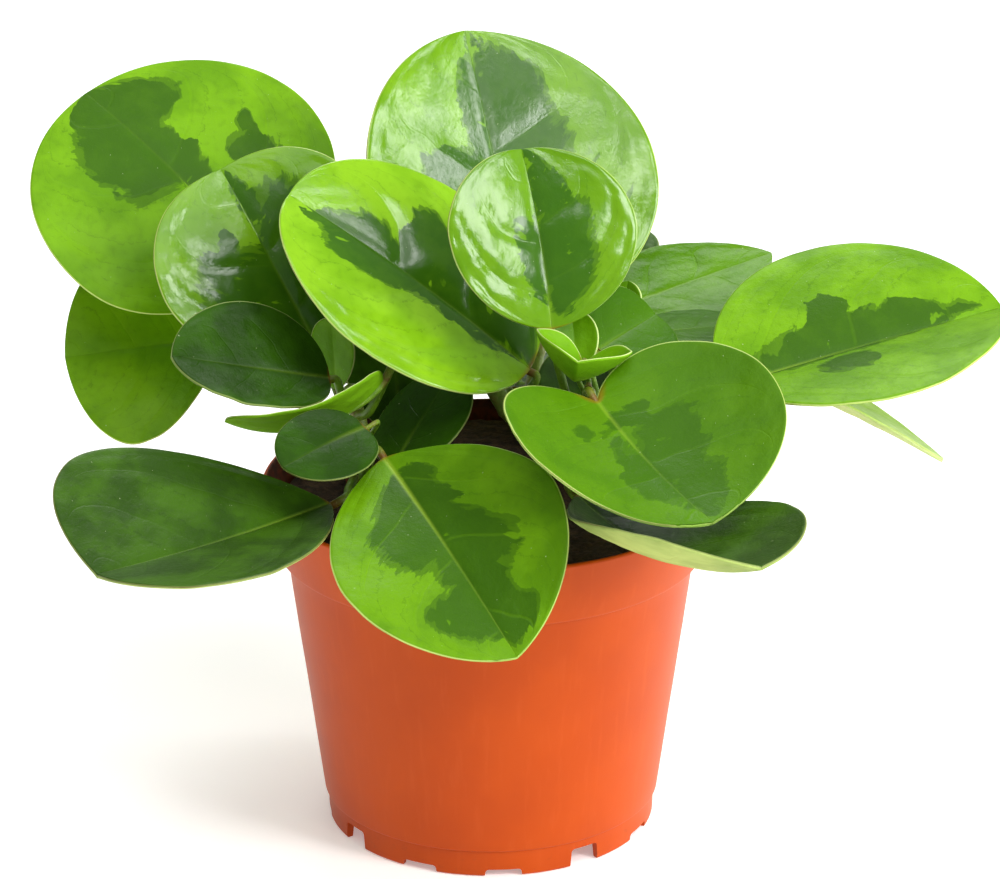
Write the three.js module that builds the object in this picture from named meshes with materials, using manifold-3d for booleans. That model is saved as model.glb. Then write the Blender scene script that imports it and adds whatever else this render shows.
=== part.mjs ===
// Potted peperomia: a bushy plant with thick, glossy, variegated leaves in a plastic nursery pot.
// Millimetres, +Z up. Places are given from the pot's axis at the level its feet stand on; the last
// lines move everything so that the middle of the plant's footprint is the origin.
import * as THREE from 'three';
import { mergeVertices } from 'three/addons/utils/BufferGeometryUtils.js';
import Module from 'manifold-3d';

const wasm = await Module();
wasm.setup();

// ---- driving dimensions -------------------------------------------------------------------------
const gap = 0.3; // between pieces that touch

const potHeight = 93.6;
const rimRadius = 60; // a 12 cm pot
const wall = 1.3;
const collarBottomZ = 76.4;
const collarBottomRadius = 56.2;
const bodyTopRadius = 53.6;
const bodyBottomRadius = 44.4;
const ledgeZ = 7.2; // the body steps in to the foot ring here
const footRadius = 43.3;
const footRingWall = 1.8;
const floorUnderZ = 5.6;
const floorTopZ = 7.1;
const potSides = 44;
const notchCount = 12;
const firstNotchAngle = 4.5; // degrees from the front, towards the right
const deepNotch = { width: 8.4, height: 5.0 };
const shallowNotch = { width: 9.8, height: 1.9 };
const drainHoleRadius = 4;
const drainCircleRadius = 27;
const drainCount = 6;

const soilTopZ = 85.6;
const soilRise = 2.2; // the soil is mounded a little round the stems
const stemHoleDepth = 24;

const bladeThickness = 1.3;
const petioleSides = 5;
const footprintMiddle = { x: 5, y: 7 }; // of the whole plant, measured from the pot's axis

const paint = {
  pot: { color: 0xc95a2b, roughness: 0.45 },
  soil: { color: 0x241a13, roughness: 0.95 },
  stem: { color: 0x7d7a35, roughness: 0.5 },
  leaf: { color: 0x5c9420, roughness: 0.3 },
};

// ---- helpers: closed meshes in and out of the solid library ---------------------------------------
function solidOf(geometry) {
  const bare = geometry.clone();
  bare.deleteAttribute('normal');
  bare.deleteAttribute('uv');
  const merged = mergeVertices(bare, 1e-4);
  return new wasm.Manifold(new wasm.Mesh({
    numProp: 3,
    vertProperties: new Float32Array(merged.attributes.position.array),
    triVerts: new Uint32Array(merged.index.array),
  }));
}

function geometryOf(solid) {
  const mesh = solid.getMesh();
  const geometry = new THREE.BufferGeometry();
  geometry.setAttribute('position', new THREE.BufferAttribute(new Float32Array(mesh.vertProperties), 3));
  geometry.setIndex(new THREE.BufferAttribute(new Uint32Array(mesh.triVerts), 1));
  geometry.computeVertexNormals();
  return geometry;
}

function geometryFrom(points, triangles) {
  const geometry = new THREE.BufferGeometry();
  geometry.setAttribute('position', new THREE.Float32BufferAttribute(points.flatMap((p) => p.toArray()), 3));
  geometry.setIndex(triangles);
  return geometry;
}

const root = new THREE.Group();

function addPart(name, geometry, finish) {
  const material = new THREE.MeshStandardMaterial({ ...paint[finish], metalness: 0 });
  const mesh = new THREE.Mesh(geometry, material);
  mesh.name = name;
  root.add(mesh);
}

// A closed round bar along a curve. radiusAt(t) gives its radius from t = 0 to t = 1.
function taperedBar(curve, steps, sides, radiusAt) {
  const frames = curve.computeFrenetFrames(steps, false);
  const points = [];
  const triangles = [];
  for (let i = 0; i <= steps; i++) {
    const t = i / steps;
    const centre = curve.getPointAt(t);
    for (let j = 0; j < sides; j++) {
      const angle = (2 * Math.PI * j) / sides;
      points.push(centre.clone()
        .addScaledVector(frames.normals[i], radiusAt(t) * Math.cos(angle))
        .addScaledVector(frames.binormals[i], radiusAt(t) * Math.sin(angle)));
    }
  }
  for (let i = 0; i < steps; i++) {
    for (let j = 0; j < sides; j++) {
      const a = i * sides + j;
      const b = i * sides + (j + 1) % sides;
      triangles.push(a, b, b + sides, a, b + sides, a + sides);
    }
  }
  const last = steps * sides;
  for (let j = 1; j < sides - 1; j++) {
    triangles.push(0, j + 1, j);
    triangles.push(last, last + j, last + j + 1);
  }
  return geometryFrom(points, triangles);
}

// ---- pot ------------------------------------------------------------------------------------------
function potGeometry() {
  const profile = [
    [0, floorUnderZ],
    [footRadius - footRingWall - 0.4, floorUnderZ],
    [footRadius - footRingWall, 0],
    [footRadius - 0.3, 0],
    [footRadius, 0.4],
    [footRadius + 0.2, ledgeZ],
    [bodyBottomRadius, ledgeZ + 0.4],
    [bodyTopRadius, collarBottomZ],
    [collarBottomRadius - 0.3, collarBottomZ],
    [collarBottomRadius, collarBottomZ + 0.5],
    [rimRadius - 0.1, potHeight - 0.6],
    [rimRadius - 0.5, potHeight],
    [rimRadius - wall, potHeight],
    [rimRadius - wall - 0.3, potHeight - 0.8],
    [collarBottomRadius - wall, collarBottomZ + 1.2],
    [bodyTopRadius - wall, collarBottomZ - 0.6],
    [bodyBottomRadius - wall, ledgeZ + 2],
    [bodyBottomRadius - wall - 1.6, floorTopZ],
    [0, floorTopZ],
  ];
  const shell = new THREE.LatheGeometry(profile.map(([r, z]) => new THREE.Vector2(r, z)), potSides);
  shell.rotateX(Math.PI / 2);
  let pot = solidOf(shell);

  // Notches in the foot ring let water run out: every third one is deep.
  for (let i = 0; i < notchCount; i++) {
    const size = i % 3 === 1 ? deepNotch : shallowNotch;
    const angle = THREE.MathUtils.degToRad(firstNotchAngle + (i * 360) / notchCount);
    const cutter = new THREE.BoxGeometry(size.width, 8, size.height * 2);
    cutter.translate(0, -footRadius, 0);
    cutter.rotateZ(angle);
    pot = pot.subtract(solidOf(cutter));
  }
  for (let i = 0; i < drainCount; i++) {
    const angle = (2 * Math.PI * i) / drainCount;
    const drill = new THREE.CylinderGeometry(drainHoleRadius, drainHoleRadius, 6, 12);
    drill.rotateX(Math.PI / 2);
    drill.translate(drainCircleRadius * Math.cos(angle), drainCircleRadius * Math.sin(angle), floorTopZ - 1);
    pot = pot.subtract(solidOf(drill));
  }
  return geometryOf(pot);
}
addPart('pot', potGeometry(), 'pot');

// ---- stems ----------------------------------------------------------------------------------------
// Each shoot is a list of points from inside the soil to its top, and its radius low down and at the top.
const stems = {
  stem_left: {
    path: [[-36, 12, 64], [-36, 12, 86], [-34, 7, 98], [-34, 5, 106], [-37, 10, 117]],
    radius: [3.0, 1.9],
  },
  stem_left_back: {
    path: [[-18, 36, 64], [-18, 36, 86], [-22, 40, 98], [-31, 46, 109], [-40, 50, 119]],
    radius: [2.8, 1.8],
  },
  stem_middle: {
    path: [[23, 14, 64], [23, 14, 86], [13, 14, 98], [3, 17, 109], [-4, 25, 120]],
    radius: [3.3, 2.2],
  },
  stem_right: {
    path: [[30, -2, 64], [30, -2, 86], [29, -3, 98], [28, -4, 108], [25, -6, 122]],
    radius: [3.0, 1.8],
  },
  stem_back: {
    path: [[10, 34, 64], [10, 34, 86], [11, 38, 98], [12, 42, 110], [14, 46, 121]],
    radius: [2.8, 1.8],
  },
};

function stemCurve(stem) {
  return new THREE.CatmullRomCurve3(stem.path.map((p) => new THREE.Vector3(...p)), false, 'centripetal');
}

function stemRadius(stem, t) {
  const [low, high] = stem.radius;
  return low + (high - low) * t;
}

for (const [name, stem] of Object.entries(stems)) {
  const steps = 8;
  // a slight swelling at every other ring is where a leaf was or is carried
  const radiusAt = (t) => stemRadius(stem, t) * (Math.round(t * steps) % 2 ? 0.92 : 1);
  addPart(name, taperedBar(stemCurve(stem), steps, 8, radiusAt), 'stem');
}

// ---- soil -----------------------------------------------------------------------------------------
function soilGeometry() {
  const bottom = bodyBottomRadius - wall - 1.6 - gap;
  const atSeam = bodyTopRadius - wall - gap;
  const atTop = collarBottomRadius - wall - gap + 1.4;
  const profile = [
    [0, floorTopZ + gap],
    [bottom, floorTopZ + gap],
    [bodyBottomRadius - wall - gap, ledgeZ + 2 + gap],
    [atSeam, collarBottomZ - 0.6],
    [collarBottomRadius - wall - gap, collarBottomZ + 1.2 + gap],
    [atTop, soilTopZ - 0.6],
    [atTop - 5, soilTopZ],
    [36, soilTopZ + soilRise * 0.6],
    [18, soilTopZ + soilRise],
    [0, soilTopZ + soilRise],
  ];
  const mound = new THREE.LatheGeometry(profile.map(([r, z]) => new THREE.Vector2(r, z)), 28);
  mound.rotateX(Math.PI / 2);
  let soil = solidOf(mound);
  for (const stem of Object.values(stems)) {
    const [x, y, z] = stem.path[0];
    const hole = new THREE.CylinderGeometry(stem.radius[0] + 1.2, stem.radius[0] + gap + 0.4, stemHoleDepth + 4, 10);
    hole.rotateX(Math.PI / 2);
    hole.translate(x + (stem.path[1][0] - x) / 2, y, z - gap + (stemHoleDepth + 4) / 2);
    soil = soil.subtract(solidOf(hole));
  }
  return geometryOf(soil);
}
addPart('soil', soilGeometry(), 'soil');

// ---- leaves ---------------------------------------------------------------------------------------
// A leaf is one piece: a stout petiole and a thick blade. at is the blade's base; heading turns it round
// +Z (0 = right, 90 = back), pitch lifts its tip and roll lifts its left side, in degrees. fold is the
// angle that each half rises from the midrib, cup its further turn out to the margin, and bend how far
// the midrib turns down to the tip. belly is where the blade is widest, from base to tip. lobe carries
// the margin back past the base and tip carries it past the midrib's end, as shares of the length.
// from is the stem and how far up it the petiole starts.
const plain = { belly: 0.52, fold: 6, cup: 0, bend: 8, lobe: 0, tip: 0, sway: 0 };
const leaves = {
  leaf_left_top: {
    at: [-61, 57, 131], heading: 152, pitch: 44, roll: -27, length: 71, width: 90,
    belly: 0.48, fold: 2, cup: -4, bend: 18, lobe: 0.06, sway: 2, from: ['stem_left_back', 0.96],
  },
  leaf_left_shaded: {
    at: [-73, 58, 112], heading: 184, pitch: -6, roll: -44, length: 43, width: 58,
    belly: 0.57, fold: 8, cup: -10, bend: 3, lobe: -0.08, tip: -0.04, from: ['stem_left_back', 0.76],
  },
  leaf_left_glossy: {
    at: [-45, 25, 119], heading: 151, pitch: 59, roll: -41, length: 56, width: 62,
    belly: 0.54, fold: 10, cup: -3, bend: 12, tip: 0.06, from: ['stem_left', 0.9],
  },
  leaf_left_young: {
    at: [-41, 18, 115], heading: 130, pitch: 86, roll: -73, length: 17, width: 11,
    belly: 0.55, fold: 8, cup: -10, bend: -3, lobe: -0.06, from: ['stem_left', 0.97],
  },
  leaf_left_oval: {
    at: [-42, 5, 120], heading: 200, pitch: 15, roll: -33, length: 44, width: 36,
    belly: 0.5, fold: 15, cup: 9, bend: -1, from: ['stem_left', 0.93],
  },
  leaf_left_edge_on: {
    at: [-28, -5, 123.5], heading: 218, pitch: -41, roll: 43, length: 45, width: 24,
    belly: 0.47, fold: 17, cup: 2, bend: -76, lobe: 0.15, tip: -0.06, from: ['stem_left', 0.84],
  },
  leaf_front_left: {
    at: [-41, -25, 97], heading: 220, pitch: -3, roll: -10, length: 72, width: 74,
    belly: 0.57, fold: 19, cup: 3, bend: -5, lobe: -0.16, tip: 0.11, sway: -2, from: ['stem_left', 0.52],
  },
  leaf_front: {
    at: [-27, -26, 110], heading: 296, pitch: -14, roll: 22, length: 73, width: 63,
    belly: 0.56, fold: 11, cup: 15, bend: 22, lobe: -0.1, tip: -0.1, from: ['stem_left', 0.6],
  },
  leaf_front_small: {
    at: [-32, -25, 118], heading: 225, pitch: 0, roll: -24, length: 27, width: 24,
    belly: 0.49, fold: 5, cup: -11, bend: 18, lobe: 0.08, from: ['stem_left', 0.76],
  },
  leaf_inner_dark: {
    at: [-25, 1, 97], heading: 56, pitch: 39, roll: -8, length: 32, width: 28,
    belly: 0.51, fold: 5, cup: -12, bend: 9, lobe: 0.05, from: ['stem_left', 0.5],
  },
  leaf_middle_wide: {
    at: [10, 14, 119], heading: 175, pitch: 41, roll: -29, length: 78, width: 65,
    belly: 0.45, fold: 14, cup: -18, bend: 13, lobe: -0.05, tip: 0.03, from: ['stem_middle', 0.74],
  },
  leaf_top: {
    at: [9, 48, 123], heading: 112, pitch: 61, roll: 7, length: 79, width: 89,
    belly: 0.51, fold: 10, cup: 6, bend: 7, lobe: 0.07, tip: -0.07, from: ['stem_middle', 0.97],
  },
  leaf_middle_upright: {
    at: [15.6, -1, 136], heading: 109, pitch: 74, roll: 3, length: 47, width: 52.5,
    belly: 0.48, fold: 15, cup: -15, bend: 11, lobe: -0.08, tip: 0.03, sway: 2.3, from: ['stem_right', 0.77],
  },
  bud_front: {
    at: [23.9, -5, 127.9], heading: 254, pitch: -20, roll: -9.5, length: 25, width: 32.7,
    belly: 0.575, fold: 22.5, cup: 33, bend: -87, lobe: 0.64, tip: 0.12, sway: 1.5, from: ['stem_right', 0.99],
  },
  bud_inner: {
    at: [23, 2, 124], heading: 104, pitch: 63, roll: 6, length: 15, width: 11,
    belly: 0.53, fold: 18, cup: 1, bend: 0, from: ['stem_right', 0.93],
  },
  bud_side: {
    at: [35, 35, 126], heading: 70, pitch: 59, roll: -1, length: 10, width: 10,
    belly: 0.5, fold: 14, cup: -2, bend: -3, tip: -0.05, from: ['stem_back', 0.96],
  },
  leaf_right_young: {
    at: [28, 10, 126], heading: 48, pitch: 11, roll: 35, length: 25, width: 27,
    belly: 0.54, fold: 12, cup: 0, bend: 12, tip: 0.04, from: ['stem_right', 0.88],
  },
  leaf_right_heart: {
    at: [27, -25, 125], heading: 309, pitch: -31, roll: 3, length: 48, width: 84,
    belly: 0.61, fold: 5, cup: 31, bend: -15, lobe: 0.51, tip: -0.11, sway: 1, from: ['stem_right', 0.82],
  },
  leaf_right_far: {
    at: [60, -3, 120], heading: 17, pitch: 12, roll: 12, length: 79, width: 75,
    belly: 0.51, fold: 24, cup: -21, bend: 4, tip: -0.06, from: ['stem_right', 0.65],
  },
  leaf_right_hanging: {
    at: [64, 21, 119], heading: 2, pitch: -22, roll: -11, length: 63, width: 45,
    belly: 0.51, fold: 1, cup: 12, bend: 10, tip: -0.04, from: ['stem_right', 0.58],
  },
  leaf_right_low: {
    at: [22, -34, 103], heading: 308, pitch: -20, roll: -10, length: 69, width: 66,
    belly: 0.53, fold: 12, cup: 21, bend: -44, lobe: -0.2, tip: 0.08, sway: -1, from: ['stem_right', 0.48],
  },
  leaf_right_back: {
    at: [36, 57, 121], heading: 32, pitch: 8, roll: 16, length: 49, width: 34,
    belly: 0.45, fold: 2, cup: 6, bend: 2, lobe: 0.06, tip: -0.15, from: ['stem_back', 0.9],
  },
  leaf_right_inner: {
    at: [38, 28, 123], heading: 25, pitch: 0, roll: 3, length: 38, width: 24,
    belly: 0.52, fold: 4, cup: -3, bend: 8, from: ['stem_right', 0.71],
  },
  leaf_inner_left: {
    at: [-24, 26, 97], heading: 100, pitch: 62, roll: -4, length: 34, width: 27, from: ['stem_left_back', 0.52],
  },
  leaf_inner_right: {
    at: [24, 20, 102], heading: 82, pitch: 40, roll: 4, length: 24, width: 26, from: ['stem_back', 0.56],
  },
  leaf_back_left: {
    at: [-31, 58, 104], heading: 106, pitch: 2, roll: 4, length: 46, width: 44, from: ['stem_left_back', 0.6],
  },
  leaf_back_upper: {
    at: [-20, 52, 122], heading: 116, pitch: 40, roll: 0, length: 38, width: 34, from: ['stem_left_back', 0.86],
  },
  leaf_back_middle: {
    at: [4, 56, 114], heading: 90, pitch: 34, roll: 4, length: 54, width: 54, from: ['stem_back', 0.7],
  },
  leaf_back_low: {
    at: [5, 52, 99], heading: 92, pitch: -6, roll: 2, length: 50, width: 46, from: ['stem_back', 0.5],
  },
  leaf_back_right: {
    at: [33, 50, 106], heading: 62, pitch: -6, roll: -4, length: 54, width: 50, from: ['stem_back', 0.62],
  },
  leaf_back_tilted: {
    at: [27, 76, 116], heading: 72, pitch: 22, roll: -6, length: 34, width: 30, from: ['stem_back', 0.8],
  },
};

function bladePoint(leaf, u, v) {
  const along = (1 - Math.cos(Math.PI * u)) / 2;
  const bellyAt = Math.acos(1 - 2 * leaf.belly) / Math.PI;
  const skew = Math.log(0.5) / Math.log(bellyAt);
  const halfWidth = (leaf.width / 2) * Math.sin(Math.PI * u ** skew);
  const reach = along + v * v * Math.sin(Math.PI * u) * (leaf.tip * along - leaf.lobe * (1 - along));
  const fold = THREE.MathUtils.degToRad(leaf.fold);
  const turn = THREE.MathUtils.degToRad(leaf.cup || 0.01) / (leaf.width / 2);
  const out = Math.abs(v) * halfWidth;
  const side = (Math.sign(v) * (Math.sin(fold + turn * out) - Math.sin(fold))) / turn;
  const lift = (Math.cos(fold) - Math.cos(fold + turn * out)) / turn;
  const bend = THREE.MathUtils.degToRad(leaf.bend || 0.01);
  return new THREE.Vector3(
    (leaf.length * Math.sin(bend * reach)) / bend + lift * Math.sin(bend * reach),
    side + leaf.sway * reach * reach,
    (-leaf.length * (1 - Math.cos(bend * reach))) / bend + lift * Math.cos(bend * reach),
  );
}

function bladeNormal(leaf, u, v) {
  const step = 0.01;
  const midU = THREE.MathUtils.clamp(u, 0.06, 0.94);
  const midV = THREE.MathUtils.clamp(v, -0.98, 0.98);
  const alongU = bladePoint(leaf, midU + step, midV).sub(bladePoint(leaf, midU - step, midV));
  const acrossV = bladePoint(leaf, midU, midV + step).sub(bladePoint(leaf, midU, midV - step));
  return alongU.cross(acrossV).normalize();
}

// Both faces are split into the same triangles, so that the two sides of a curved blade never cross.
function bladeGeometry(leaf, rows, columns) {
  const points = [];
  const triangles = [];
  const index = new Map();
  const put = (i, j) => {
    const pole = i === 0 || i === rows;
    const u = i / rows;
    const v = pole ? 0 : (2 * j) / columns - 1;
    const centre = bladePoint(leaf, u, v);
    const normal = bladeNormal(leaf, u, v).multiplyScalar(bladeThickness / 2);
    index.set(`${i},${j}`, points.length);
    points.push(centre.clone().add(normal), centre.clone().sub(normal));
  };
  for (let i = 0; i <= rows; i++) {
    for (let j = 0; j <= (i === 0 || i === rows ? 0 : columns); j++) put(i, j);
  }
  const top = (i, j) => index.get(`${i},${i === 0 || i === rows ? 0 : j}`);
  const under = (i, j) => top(i, j) + 1;
  const face = (a, b, c) => {
    triangles.push(top(...a), top(...b), top(...c));
    triangles.push(under(...a), under(...c), under(...b));
  };
  for (let j = 0; j < columns; j++) {
    face([0, 0], [1, j], [1, j + 1]);
    for (let i = 1; i < rows - 1; i++) {
      face([i, j], [i + 1, j], [i + 1, j + 1]);
      face([i, j], [i + 1, j + 1], [i, j + 1]);
    }
    face([rows - 1, j], [rows, 0], [rows - 1, j + 1]);
  }
  for (let i = 0; i < rows; i++) {
    triangles.push(top(i, 0), under(i, 0), under(i + 1, 0), top(i, 0), under(i + 1, 0), top(i + 1, 0));
    const left = columns;
    triangles.push(top(i, left), top(i + 1, left), under(i + 1, left));
    triangles.push(top(i, left), under(i + 1, left), under(i, left));
  }
  return geometryFrom(points, triangles);
}

function leafPlacement(leaf) {
  const turn = new THREE.Matrix4().makeRotationZ(THREE.MathUtils.degToRad(leaf.heading));
  turn.multiply(new THREE.Matrix4().makeRotationY(THREE.MathUtils.degToRad(-leaf.pitch)));
  turn.multiply(new THREE.Matrix4().makeRotationX(THREE.MathUtils.degToRad(leaf.roll)));
  return turn.setPosition(new THREE.Vector3(...leaf.at));
}

// The petiole leaves its stem square to it, swings round to the blade's own direction and goes on a
// little way under the blade as the thick start of the midrib.
function petioleCurve(leaf, placement) {
  const [stemName, height] = leaf.from;
  const stem = stems[stemName];
  const axis = stemCurve(stem);
  const node = axis.getPointAt(height);
  const up = axis.getTangentAt(height);
  const base = new THREE.Vector3(...leaf.at);
  const away = base.clone().sub(node);
  away.addScaledVector(up, -away.dot(up)).normalize();
  const start = node.clone().addScaledVector(away, stemRadius(stem, height) + gap);
  const span = start.distanceTo(base);
  const under = (s) => {
    const u = Math.acos(1 - 2 * s) / Math.PI;
    const drop = bladeNormal(leaf, u, 0).multiplyScalar(-bladeThickness * 0.45);
    return bladePoint(leaf, u, 0).add(drop).applyMatrix4(placement);
  };
  const inward = base.clone().sub(under(0.12)).normalize();
  return new THREE.CatmullRomCurve3([
    start,
    start.clone().addScaledVector(away, Math.min(4, span * 0.25)),
    base.clone().addScaledVector(inward, Math.min(6, span * 0.35)),
    under(0.01),
    under(0.14),
  ], false, 'centripetal');
}

for (const [name, given] of Object.entries(leaves)) {
  const leaf = { ...plain, ...given };
  const placement = leafPlacement(leaf);
  const small = leaf.length < 34;
  const blade = bladeGeometry(leaf, small ? 6 : 8, small ? 4 : 6);
  blade.applyMatrix4(placement);
  const thick = small ? 1.2 : 1.7;
  const petiole = taperedBar(petioleCurve(leaf, placement), 6, petioleSides, (t) => thick * (1 - 0.45 * t));
  addPart(name, geometryOf(solidOf(blade).add(solidOf(petiole))), 'leaf');
}

// ---- the whole plant, with the middle of its footprint on the origin --------------------------------
root.position.set(-footprintMiddle.x, -footprintMiddle.y, 0);
root.updateMatrixWorld(true);

export default root;
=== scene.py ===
import math
from functools import partialmethod

import bpy
import numpy as np
from mathutils import Euler, Matrix, Vector


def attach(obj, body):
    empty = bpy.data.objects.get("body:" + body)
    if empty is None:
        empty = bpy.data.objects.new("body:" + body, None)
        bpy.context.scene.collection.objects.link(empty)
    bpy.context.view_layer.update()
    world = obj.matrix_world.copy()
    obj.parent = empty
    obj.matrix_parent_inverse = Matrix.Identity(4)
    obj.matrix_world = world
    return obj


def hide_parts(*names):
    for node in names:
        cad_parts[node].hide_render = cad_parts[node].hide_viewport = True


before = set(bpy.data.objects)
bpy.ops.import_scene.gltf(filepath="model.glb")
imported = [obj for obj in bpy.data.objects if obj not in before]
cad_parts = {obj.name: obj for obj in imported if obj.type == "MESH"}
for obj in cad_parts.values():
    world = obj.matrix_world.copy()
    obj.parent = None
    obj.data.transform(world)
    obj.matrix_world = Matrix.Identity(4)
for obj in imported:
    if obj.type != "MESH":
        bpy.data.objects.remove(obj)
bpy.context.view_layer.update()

# ---- the nursery pot -----------------------------------------
# A thin-walled pot of orange-brown polypropylene, injection moulded in one piece: tapered wall, a
# collar with a small step under it, a floor with drain holes, and a foot ring cut by notches.


class Flow:
    """A value in a node tree; arithmetic on it adds the math nodes that work it out."""

    def __init__(self, tree, source):
        self.tree, self.source = tree, source

    def math(self, operation, *others):
        node = self.tree.nodes.new("ShaderNodeMath")
        node.operation = operation
        for socket, term in zip(node.inputs, (self, *others)):
            feed(self.tree, socket, term)
        return Flow(self.tree, node)

    __add__, __sub__ = partialmethod(math, "ADD"), partialmethod(math, "SUBTRACT")
    __mul__, __truediv__ = partialmethod(math, "MULTIPLY"), partialmethod(math, "DIVIDE")
    __pow__, __abs__ = partialmethod(math, "POWER"), partialmethod(math, "ABSOLUTE")
    at_least, at_most = partialmethod(math, "MAXIMUM"), partialmethod(math, "MINIMUM")
    sin, cos = partialmethod(math, "SINE"), partialmethod(math, "COSINE")
    sign, sqrt = partialmethod(math, "SIGN"), partialmethod(math, "SQRT")

    def __rsub__(self, other):
        return self * -1 + other

    def ramp(self, low, high):
        """0 below low, 1 above high, smooth between."""
        node = add(self.tree, "ShaderNodeMapRange", {0: self, 1: low, 2: high},
                   interpolation_type="SMOOTHSTEP")
        return Flow(self.tree, node)


def feed(tree, socket, value):
    """Links a flow, a socket or a node's first output to the socket, or sets a plain value."""
    if isinstance(value, Flow):
        value = value.source
    if isinstance(value, bpy.types.Node):
        value = value.outputs[0]
    if isinstance(value, bpy.types.NodeSocket):
        tree.links.new(value, socket)
    else:
        socket.default_value = value


def add(tree, kind, inputs=None, **settings):
    node = tree.nodes.new(kind)
    for key, value in settings.items():
        setattr(node, key, value)
    for key, value in (inputs or {}).items():
        feed(tree, node.inputs[key], value)
    return node


def geo(tree, kind, inputs=None, **settings):
    return add(tree, "GeometryNode" + kind, inputs, **settings)


def join_xyz(tree, x, y, z):
    return add(tree, "ShaderNodeCombineXYZ", {0: x, 1: y, 2: z}).outputs[0]


def split_xyz(tree, vector):
    return [Flow(tree, s) for s in add(tree, "ShaderNodeSeparateXYZ", {0: vector}).outputs]


def noise(tree, where, scale, detail=3.0, roughness=0.5):
    node = add(tree, "ShaderNodeTexNoise", {
        "Vector": where, "Scale": scale, "Detail": detail, "Roughness": roughness})
    return Flow(tree, node)


def new_grower(name, numbers, wholes=(), vectors=()):
    """An empty geometry tree with named inputs, its group input as flows, and its output socket."""
    tree = bpy.data.node_groups.new(name, "GeometryNodeTree")
    tree.interface.new_socket("Geometry", in_out="INPUT", socket_type="NodeSocketGeometry")
    for kind, names in (("Float", numbers), ("Int", wholes), ("Vector", vectors)):
        for each in names:
            tree.interface.new_socket(each, in_out="INPUT", socket_type="NodeSocket" + kind)
    tree.interface.new_socket("Geometry", in_out="OUTPUT", socket_type="NodeSocketGeometry")
    given = tree.nodes.new("NodeGroupInput")
    flows = {s.name: Flow(tree, s) for s in given.outputs if s.name}
    return tree, flows, tree.nodes.new("NodeGroupOutput").inputs[0]


def finish_tree(tree, geometry, material, out):
    real = geo(tree, "RealizeInstances", {0: geometry})
    feed(tree, out, geo(tree, "SetMaterial", {0: real, "Material": material}))


POT_AXIS = Vector((-0.005, -0.007, 0.0))  # from the middle of the plant's footprint


def put(name, data):
    """A new object at the origin of the scene."""
    item = bpy.data.objects.new(name, data)
    bpy.context.scene.collection.objects.link(item)
    return item


def grow(name, start, tree, values):
    """The tree's result on a start mesh in millimetres, as a plain mesh in place and in metres."""
    piece = put(name, start)
    modifier = piece.modifiers.new("grow", "NODES")
    modifier.node_group = tree
    for item in tree.interface.items_tree:
        if item.in_out == "INPUT" and item.name in values:
            modifier[item.identifier] = values[item.name]
    bpy.context.view_layer.update()
    grown = piece.evaluated_get(bpy.context.evaluated_depsgraph_get())
    mesh = bpy.data.meshes.new_from_object(grown)
    piece.modifiers.remove(modifier)
    piece.data = mesh
    metres = 0.001
    mesh.transform(Matrix.Translation(POT_AXIS) @ Matrix.Scale(metres, 4))
    mesh.name = name
    return piece


def line_mesh(name, points):
    mesh = bpy.data.meshes.new(name)
    mesh.from_pydata([tuple(p) for p in points], [(i, i + 1) for i in range(len(points) - 1)], [])
    return mesh


def rounded(corners, bends, longest):
    """An outline through the corners, rounded by their bends, in steps up to the longest."""
    corners = [np.array(c, float) for c in corners]
    line = [corners[0]]
    for a, p, b, bend in zip(corners, corners[1:], corners[2:], bends[1:]):
        cut = min(bend, 0.45 * np.linalg.norm(a - p), 0.45 * np.linalg.norm(b - p))
        first = p + (a - p) / np.linalg.norm(a - p) * cut
        last = p + (b - p) / np.linalg.norm(b - p) * cut
        for t in np.linspace(0, 1, 5):
            line.append((1 - t) ** 2 * first + 2 * t * (1 - t) * p + t * t * last)
    line.append(corners[-1])
    fine = [line[0]]
    for a, b in zip(line, line[1:]):
        steps = max(1, math.ceil(np.linalg.norm(b - a) / longest))
        fine += [a + (b - a) * k / steps for k in range(1, steps + 1)]
    return [(x, 0.0, z) for x, z in fine]


def srgb(red, green, blue):
    return tuple(((c / 255 + 0.055) / 1.055) ** 2.4 for c in (red, green, blue)) + (1.0,)


def new_finish(name):
    material = bpy.data.materials.new(name)
    material.use_nodes = True
    tree = material.node_tree
    shader = tree.nodes["Principled BSDF"]
    spot = tree.nodes.new("ShaderNodeTexCoord").outputs["Object"]
    return material, tree, shader, spot


def mixed(tree, share, first, second):
    return add(tree, "ShaderNodeMix", {0: share, 6: first, 7: second}, data_type="RGBA").outputs[2]


def coat(tree, shader, colour, rough, shine=None):
    feed(tree, shader.inputs["Base Color"], colour)
    feed(tree, shader.inputs["Roughness"], rough)
    if shine is not None:
        shader.inputs["Specular IOR Level"].default_value = shine


def add_bump(tree, shader, height, distance, strength):
    feed(tree, shader.inputs["Normal"], add(tree, "ShaderNodeBump", {
        "Height": height, "Distance": distance, "Strength": strength}))


def lathe_points(tree, profile, sides):
    """A grid with a row for each point of the profile, and its points' radius, height and turn."""
    count = Flow(tree, geo(tree, "AttributeDomainSize", {0: profile}))
    around = sides + 1
    grid = geo(tree, "MeshGrid", {"Vertices X": count, "Vertices Y": around})
    index = Flow(tree, geo(tree, "InputIndex"))
    row = (index / around).math("FLOOR")
    turn = (index - row * around) / sides * math.tau
    picked = geo(tree, "SampleIndex", {
        "Geometry": profile, "Value": geo(tree, "InputPosition"), "Index": row},
        data_type="FLOAT_VECTOR")
    radius, _, height = split_xyz(tree, picked)
    return grid, radius, height, turn


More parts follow.
